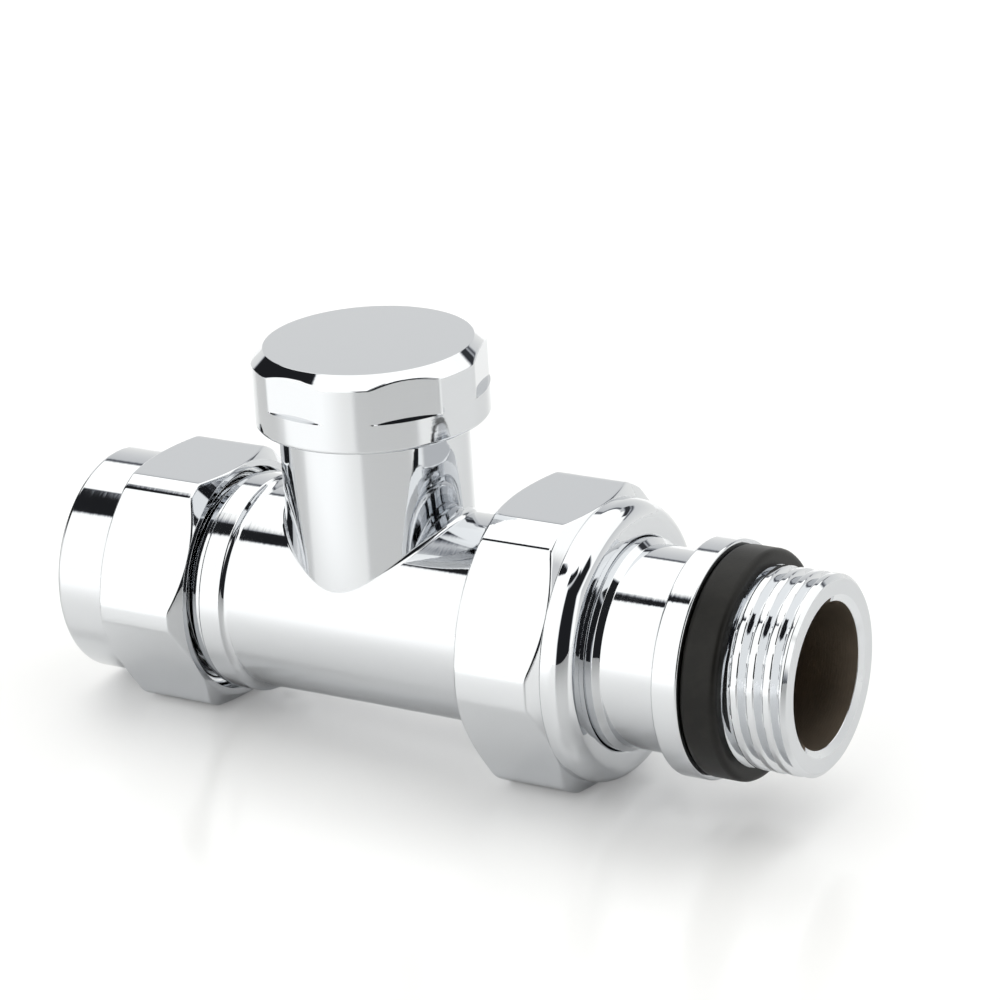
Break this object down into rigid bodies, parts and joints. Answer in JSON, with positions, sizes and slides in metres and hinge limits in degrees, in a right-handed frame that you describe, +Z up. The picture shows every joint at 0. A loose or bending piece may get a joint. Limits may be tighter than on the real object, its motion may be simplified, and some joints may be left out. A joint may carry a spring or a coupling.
{
  "type": "straight lockshield radiator valve",
  "caption": "Straight chrome radiator valve with a screw cap over its key spindle, a compression pipe nut and a union tail with a rubber-sealed male thread.",
  "frame": {"origin": "on the pipe axis, in the plane where the rubber ring seals on the radiator and the radiator thread starts", "axes": "+X along the pipe axis, out of the radiator thread; +Z up the spindle, towards the cap"},
  "size_m": [0.0871, 0.0328, 0.0445],
  "materials": {
    "chrome": "polished chrome plate on brass",
    "brass": "bare machined",
    "spring_steel": "bare spring steel",
    "rubber": "matte moulded"
  },
  "bodies": {
    "valve": {"valve_body": "chrome", "headwork": "brass", "headwork_o_ring": "rubber", "spindle_circlip": "spring_steel"},
    "plug": {"valve_plug": "brass", "plug_clip": "spring_steel", "seat_washer": "rubber", "washer_screw": "brass"},
    "spindle": {"spindle": "brass", "spindle_o_ring_lower": "rubber", "spindle_o_ring_upper": "rubber"},
    "cap_seal": {"cap_washer": "rubber"},
    "cap": {"cap": "chrome"},
    "olive": {"olive": "brass"},
    "pipe_nut": {"pipe_nut": "chrome"},
    "tail": {"tailpiece": "chrome", "union_snap_ring": "spring_steel", "union_o_ring": "rubber", "radiator_seal_ring": "rubber"},
    "union_nut": {"union_nut": "chrome"}
  },
  "joints": [
    {"name": "plug_lift", "type": "slide", "parent": "valve", "child": "plug", "axis": [0, 0, 1], "range_m": [0, 0.003]},
    {"name": "spindle_turn", "type": "hinge", "parent": "plug", "child": "spindle", "pos_m": [-0.0454, 0, 0.02], "axis": [0, 0, 1], "range_deg": [0, 721]},
    {"name": "cap_lift", "type": "slide", "parent": "valve", "child": "cap_seal", "axis": [0, 0, 1], "range_m": [0, 0.008]},
    {"name": "cap_turn", "type": "hinge", "parent": "cap_seal", "child": "cap", "pos_m": [-0.0454, 0, 0.025], "axis": [0, 0, 1], "range_deg": [0, 2881]},
    {"name": "olive_slide", "type": "slide", "parent": "valve", "child": "olive", "axis": [-1, 0, 0], "range_m": [0, 0.01]},
    {"name": "pipe_nut_turn", "type": "hinge", "parent": "olive", "child": "pipe_nut", "pos_m": [-0.073, 0, 0], "axis": [-1, 0, 0], "range_deg": [0, 1986]},
    {"name": "tail_slide", "type": "slide", "parent": "valve", "child": "tail", "axis": [1, 0, 0], "range_m": [0, 0.01]},
    {"name": "union_nut_turn", "type": "hinge", "parent": "tail", "child": "union_nut", "pos_m": [-0.022, 0, 0], "axis": [1, 0, 0], "range_deg": [0, 1986]}
  ],
  "couplings": [
    {"joint": "spindle_turn", "follows": "plug_lift", "rad_per_m": 4188.8},
    {"joint": "cap_turn", "follows": "cap_lift", "rad_per_m": 6283.2},
    {"joint": "pipe_nut_turn", "follows": "olive_slide", "rad_per_m": 3463.1},
    {"joint": "union_nut_turn", "follows": "tail_slide", "rad_per_m": 3463.1}
  ]
}
